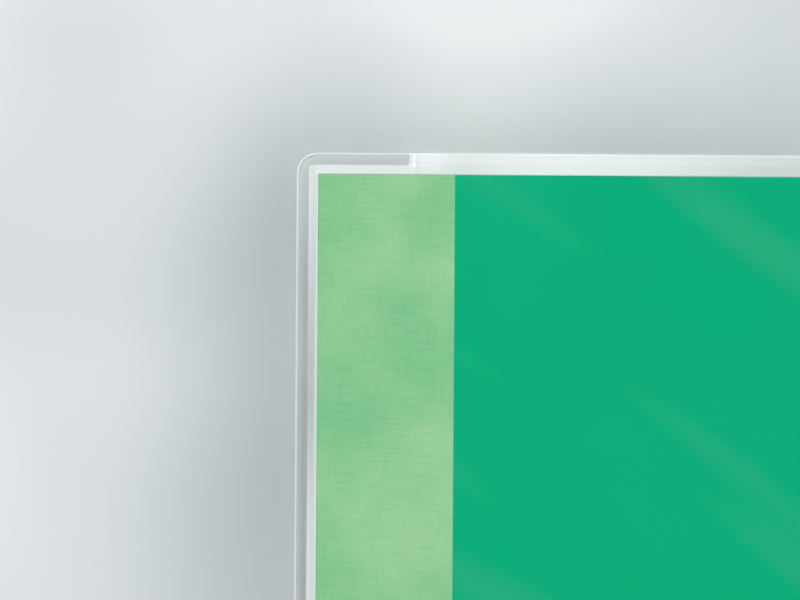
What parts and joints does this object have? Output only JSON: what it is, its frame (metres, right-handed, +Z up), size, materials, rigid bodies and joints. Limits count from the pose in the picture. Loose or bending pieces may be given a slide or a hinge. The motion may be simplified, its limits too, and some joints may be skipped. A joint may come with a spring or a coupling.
{
  "type": "stamp album",
  "caption": "Hard-bound stamp stock album with cloth and paper covers, black card leaves with clear strips, and a welded clear film jacket; it opens flat.",
  "frame": {"origin": "under the middle of the closed album, on the surface that it lies on", "axes": "+X from the fore-edge to the spine, +Y from tail to head, +Z up through the closed album"},
  "size_m": [0.173, 0.2304, 0.0176],
  "materials": {
    "book_cloth": "matte",
    "cover_paper": "satin",
    "grey_board": "matte",
    "endpaper": "matte",
    "leaf_card": "matte",
    "hinge_linen": "matte",
    "strip_film": "gloss",
    "glassine": "satin",
    "gauze": "matte",
    "headband_silk": "satin",
    "thread": "matte",
    "jacket_film": "gloss"
  },
  "bodies": {
    "lower_cover": {"lower_board": "grey_board", "lower_fore_edge_cloth": "book_cloth", "lower_paper_side": "cover_paper", "lower_joint_cloth": "book_cloth", "lower_pastedown": "endpaper", "lower_flyleaf": "endpaper", "guards": "leaf_card", "mull": "gauze", "headbands": "headband_silk", "binding_thread": "thread", "sheet_tabs": "glassine", "jacket_lower_sheet": "jacket_film", "jacket_lower_flap": "jacket_film", "jacket_lower_weld": "jacket_film"},
    "spine": {"spine_board": "grey_board", "spine_cloth": "book_cloth", "jacket_spine_sheet": "jacket_film", "jacket_lower_fold": "jacket_film", "jacket_upper_fold": "jacket_film"},
    "upper_cover": {"upper_board": "grey_board", "upper_fore_edge_cloth": "book_cloth", "upper_paper_side": "cover_paper", "upper_joint_cloth": "book_cloth", "upper_pastedown": "endpaper", "jacket_upper_sheet": "jacket_film", "jacket_upper_flap": "jacket_film", "jacket_upper_weld": "jacket_film"},
    "endpaper": {"upper_flyleaf": "endpaper"},
    "leaf_1": {"leaf_1_card": "leaf_card", "leaf_1_strips": "strip_film", "leaf_1_linen": "hinge_linen"},
    "interleaf_1": {"interleaf_1": "glassine"},
    "leaf_2": {"leaf_2_card": "leaf_card", "leaf_2_strips": "strip_film", "leaf_2_linen": "hinge_linen"},
    "interleaf_2": {"interleaf_2": "glassine"},
    "leaf_3": {"leaf_3_card": "leaf_card", "leaf_3_strips": "strip_film", "leaf_3_linen": "hinge_linen"},
    "interleaf_3": {"interleaf_3": "glassine"},
    "leaf_4": {"leaf_4_card": "leaf_card", "leaf_4_strips": "strip_film", "leaf_4_linen": "hinge_linen"},
    "interleaf_4": {"interleaf_4": "glassine"},
    "leaf_5": {"leaf_5_card": "leaf_card", "leaf_5_strips": "strip_film", "leaf_5_linen": "hinge_linen"},
    "interleaf_5": {"interleaf_5": "glassine"},
    "leaf_6": {"leaf_6_card": "leaf_card", "leaf_6_strips": "strip_film", "leaf_6_linen": "hinge_linen"},
    "interleaf_6": {"interleaf_6": "glassine"},
    "leaf_7": {"leaf_7_card": "leaf_card", "leaf_7_strips": "strip_film", "leaf_7_linen": "hinge_linen"},
    "interleaf_7": {"interleaf_7": "glassine"},
    "leaf_8": {"leaf_8_card": "leaf_card", "leaf_8_strips": "strip_film", "leaf_8_linen": "hinge_linen"}
  },
  "joints": [
    {"name": "spine_turn", "type": "hinge", "parent": "lower_cover", "child": "spine", "pos_m": [0.08475, 0, 0.0017], "axis": [0, 1, 0], "range_deg": [0, 90], "deforming": ["jacket_lower_fold"]},
    {"name": "cover_open", "type": "hinge", "parent": "spine", "child": "upper_cover", "pos_m": [0.08475, 0, 0.0159], "axis": [0, 1, 0], "range_deg": [0, 90], "deforming": ["jacket_upper_fold"]},
    {"name": "endpaper_turn", "type": "hinge", "parent": "lower_cover", "child": "endpaper", "pos_m": [0.07845, 0, 0.0088], "axis": [0, 1, 0], "range_deg": [0, 169.42], "deforming": ["sheet_tabs"]},
    {"name": "leaf_1_turn", "type": "hinge", "parent": "lower_cover", "child": "leaf_1", "pos_m": [0.07845, 0, 0.0088], "axis": [0, 1, 0], "range_deg": [0, 158.83], "deforming": ["leaf_1_linen"]},
    {"name": "interleaf_1_turn", "type": "hinge", "parent": "lower_cover", "child": "interleaf_1", "pos_m": [0.07845, 0, 0.0088], "axis": [0, 1, 0], "range_deg": [0, 148.24]},
    {"name": "leaf_2_turn", "type": "hinge", "parent": "lower_cover", "child": "leaf_2", "pos_m": [0.07845, 0, 0.0088], "axis": [0, 1, 0], "range_deg": [0, 137.65], "deforming": ["leaf_2_linen"]},
    {"name": "interleaf_2_turn", "type": "hinge", "parent": "lower_cover", "child": "interleaf_2", "pos_m": [0.07845, 0, 0.0088], "axis": [0, 1, 0], "range_deg": [0, 127.06]},
    {"name": "leaf_3_turn", "type": "hinge", "parent": "lower_cover", "child": "leaf_3", "pos_m": [0.07845, 0, 0.0088], "axis": [0, 1, 0], "range_deg": [0, 116.48], "deforming": ["leaf_3_linen"]},
    {"name": "interleaf_3_turn", "type": "hinge", "parent": "lower_cover", "child": "interleaf_3", "pos_m": [0.07845, 0, 0.0088], "axis": [0, 1, 0], "range_deg": [0, 105.89]},
    {"name": "leaf_4_turn", "type": "hinge", "parent": "lower_cover", "child": "leaf_4", "pos_m": [0.07845, 0, 0.0088], "axis": [0, 1, 0], "range_deg": [0, 95.3], "deforming": ["leaf_4_linen"]},
    {"name": "interleaf_4_turn", "type": "hinge", "parent": "lower_cover", "child": "interleaf_4", "pos_m": [0.07845, 0, 0.0088], "axis": [0, 1, 0], "range_deg": [0, 84.71]},
    {"name": "leaf_5_turn", "type": "hinge", "parent": "lower_cover", "child": "leaf_5", "pos_m": [0.07845, 0, 0.0088], "axis": [0, 1, 0], "range_deg": [0, 74.12], "deforming": ["leaf_5_linen"]},
    {"name": "interleaf_5_turn", "type": "hinge", "parent": "lower_cover", "child": "interleaf_5", "pos_m": [0.07845, 0, 0.0088], "axis": [0, 1, 0], "range_deg": [0, 63.53]},
    {"name": "leaf_6_turn", "type": "hinge", "parent": "lower_cover", "child": "leaf_6", "pos_m": [0.07845, 0, 0.0088], "axis": [0, 1, 0], "range_deg": [0, 52.95], "deforming": ["leaf_6_linen"]},
    {"name": "interleaf_6_turn", "type": "hinge", "parent": "lower_cover", "child": "interleaf_6", "pos_m": [0.07845, 0, 0.0088], "axis": [0, 1, 0], "range_deg": [0, 42.36]},
    {"name": "leaf_7_turn", "type": "hinge", "parent": "lower_cover", "child": "leaf_7", "pos_m": [0.07845, 0, 0.0088], "axis": [0, 1, 0], "range_deg": [0, 31.77], "deforming": ["leaf_7_linen"]},
    {"name": "interleaf_7_turn", "type": "hinge", "parent": "lower_cover", "child": "interleaf_7", "pos_m": [0.07845, 0, 0.0088], "axis": [0, 1, 0], "range_deg": [0, 21.18]},
    {"name": "leaf_8_turn", "type": "hinge", "parent": "lower_cover", "child": "leaf_8", "pos_m": [0.07845, 0, 0.0088], "axis": [0, 1, 0], "range_deg": [0, 10.59], "deforming": ["leaf_8_linen"]}
  ],
  "couplings": [
    {"joint": "cover_open", "follows": "spine_turn", "ratio": 1},
    {"joint": "endpaper_turn", "follows": "spine_turn", "ratio": 1.8823},
    {"joint": "leaf_1_turn", "follows": "spine_turn", "ratio": 1.7647},
    {"joint": "interleaf_1_turn", "follows": "spine_turn", "ratio": 1.6471},
    {"joint": "leaf_2_turn", "follows": "spine_turn", "ratio": 1.5294},
    {"joint": "interleaf_2_turn", "follows": "spine_turn", "ratio": 1.4118},
    {"joint": "leaf_3_turn", "follows": "spine_turn", "ratio": 1.2941},
    {"joint": "interleaf_3_turn", "follows": "spine_turn", "ratio": 1.1765},
    {"joint": "leaf_4_turn", "follows": "spine_turn", "ratio": 1.0588},
    {"joint": "interleaf_4_turn", "follows": "spine_turn", "ratio": 0.94118},
    {"joint": "leaf_5_turn", "follows": "spine_turn", "ratio": 0.82353},
    {"joint": "interleaf_5_turn", "follows": "spine_turn", "ratio": 0.70588},
    {"joint": "leaf_6_turn", "follows": "spine_turn", "ratio": 0.58824},
    {"joint": "interleaf_6_turn", "follows": "spine_turn", "ratio": 0.47059},
    {"joint": "leaf_7_turn", "follows": "spine_turn", "ratio": 0.35294},
    {"joint": "interleaf_7_turn", "follows": "spine_turn", "ratio": 0.23529},
    {"joint": "leaf_8_turn", "follows": "spine_turn", "ratio": 0.11765}
  ]
}
